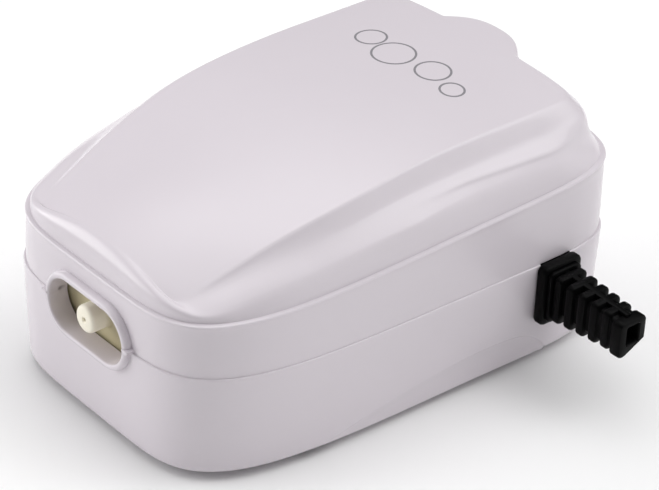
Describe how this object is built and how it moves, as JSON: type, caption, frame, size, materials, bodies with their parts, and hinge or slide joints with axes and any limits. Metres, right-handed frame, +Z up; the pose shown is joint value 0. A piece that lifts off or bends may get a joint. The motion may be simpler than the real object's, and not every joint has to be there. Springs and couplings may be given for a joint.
{
  "type": "aquarium air pump",
  "caption": "Oval desk-top diaphragm air pump: two-part glossy housing, hose nozzle in a front port, strain relief, rubber feet, electromagnet, swinging arm and flap valves inside.",
  "frame": {"origin": "centre of the flat underside of the base shell; the rubber feet reach 1.6 mm below it", "axes": "+Z up, +Y from the hose nozzle (front) to the rear, +X towards the strain relief"},
  "size_m": [0.0914, 0.101, 0.0503],
  "materials": {
    "housing_white": "glossy moulded white with a faint lavender cast",
    "black_rubber": "matt black rubber",
    "cream_plastic": "satin cream plastic",
    "natural_nylon": "satin natural nylon",
    "zinc_steel": "zinc plated",
    "core_steel": "varnished laminations",
    "enamelled_copper": "enamelled wire",
    "brass": "plain",
    "ferrite": "sintered ferrite",
    "grey_rubber": "matt grey rubber",
    "felt": "pressed white felt"
  },
  "bodies": {
    "housing": {"base_shell": "housing_white", "top_cover": "housing_white", "strain_relief": "black_rubber", "nozzle_plate": "cream_plastic", "valve_chamber": "cream_plastic", "valve_plate": "natural_nylon", "inlet_flap_clip": "natural_nylon", "outlet_flap_clip": "natural_nylon", "diaphragm": "black_rubber", "clamp_ring": "natural_nylon", "pivot_pin": "zinc_steel", "arm_bracket": "zinc_steel", "bracket_screw": "zinc_steel", "e_core": "core_steel", "coil_bobbin": "natural_nylon", "coil_winding": "enamelled_copper", "coil_terminal_1": "brass", "coil_terminal_2": "brass", "core_pad_1": "grey_rubber", "core_screw_1": "zinc_steel", "core_pad_2": "grey_rubber", "core_screw_2": "zinc_steel", "chamber_screw_1": "zinc_steel", "chamber_screw_2": "zinc_steel", "clamp_screw_1": "zinc_steel", "clamp_screw_2": "zinc_steel", "clamp_screw_3": "zinc_steel", "clamp_screw_4": "zinc_steel", "housing_screw_1": "zinc_steel", "housing_screw_2": "zinc_steel", "housing_screw_3": "zinc_steel", "housing_screw_4": "zinc_steel", "foot_1": "grey_rubber", "foot_2": "grey_rubber", "foot_3": "grey_rubber", "foot_4": "grey_rubber", "intake_felt": "felt", "filter_cover": "housing_white"},
    "arm": {"swing_arm": "natural_nylon", "arm_bush": "brass", "magnet": "ferrite", "diaphragm_plate_inner": "zinc_steel", "diaphragm_plate_outer": "zinc_steel", "diaphragm_screw": "zinc_steel", "diaphragm_nut": "zinc_steel"},
    "inlet_valve": {"inlet_flap": "black_rubber"},
    "outlet_valve": {"outlet_flap": "black_rubber"}
  },
  "joints": [
    {"name": "arm_swing", "type": "hinge", "parent": "housing", "child": "arm", "pos_m": [0.0165, -0.039, 0.0195], "axis": [0, 0, 1], "range_deg": [-3, 3], "stiffness_Nm_per_rad": 0.2, "deforming": ["diaphragm"]},
    {"name": "inlet_flap_lift", "type": "hinge", "parent": "housing", "child": "inlet_valve", "pos_m": [0.007, -0.0244, 0.0195], "axis": [0, 0, -1], "range_deg": [0, 14], "stiffness_Nm_per_rad": 0.0002},
    {"name": "outlet_flap_lift", "type": "hinge", "parent": "housing", "child": "outlet_valve", "pos_m": [0.0036, -0.0362, 0.0195], "axis": [0, 0, 1], "range_deg": [0, 18], "stiffness_Nm_per_rad": 0.0002}
  ]
}
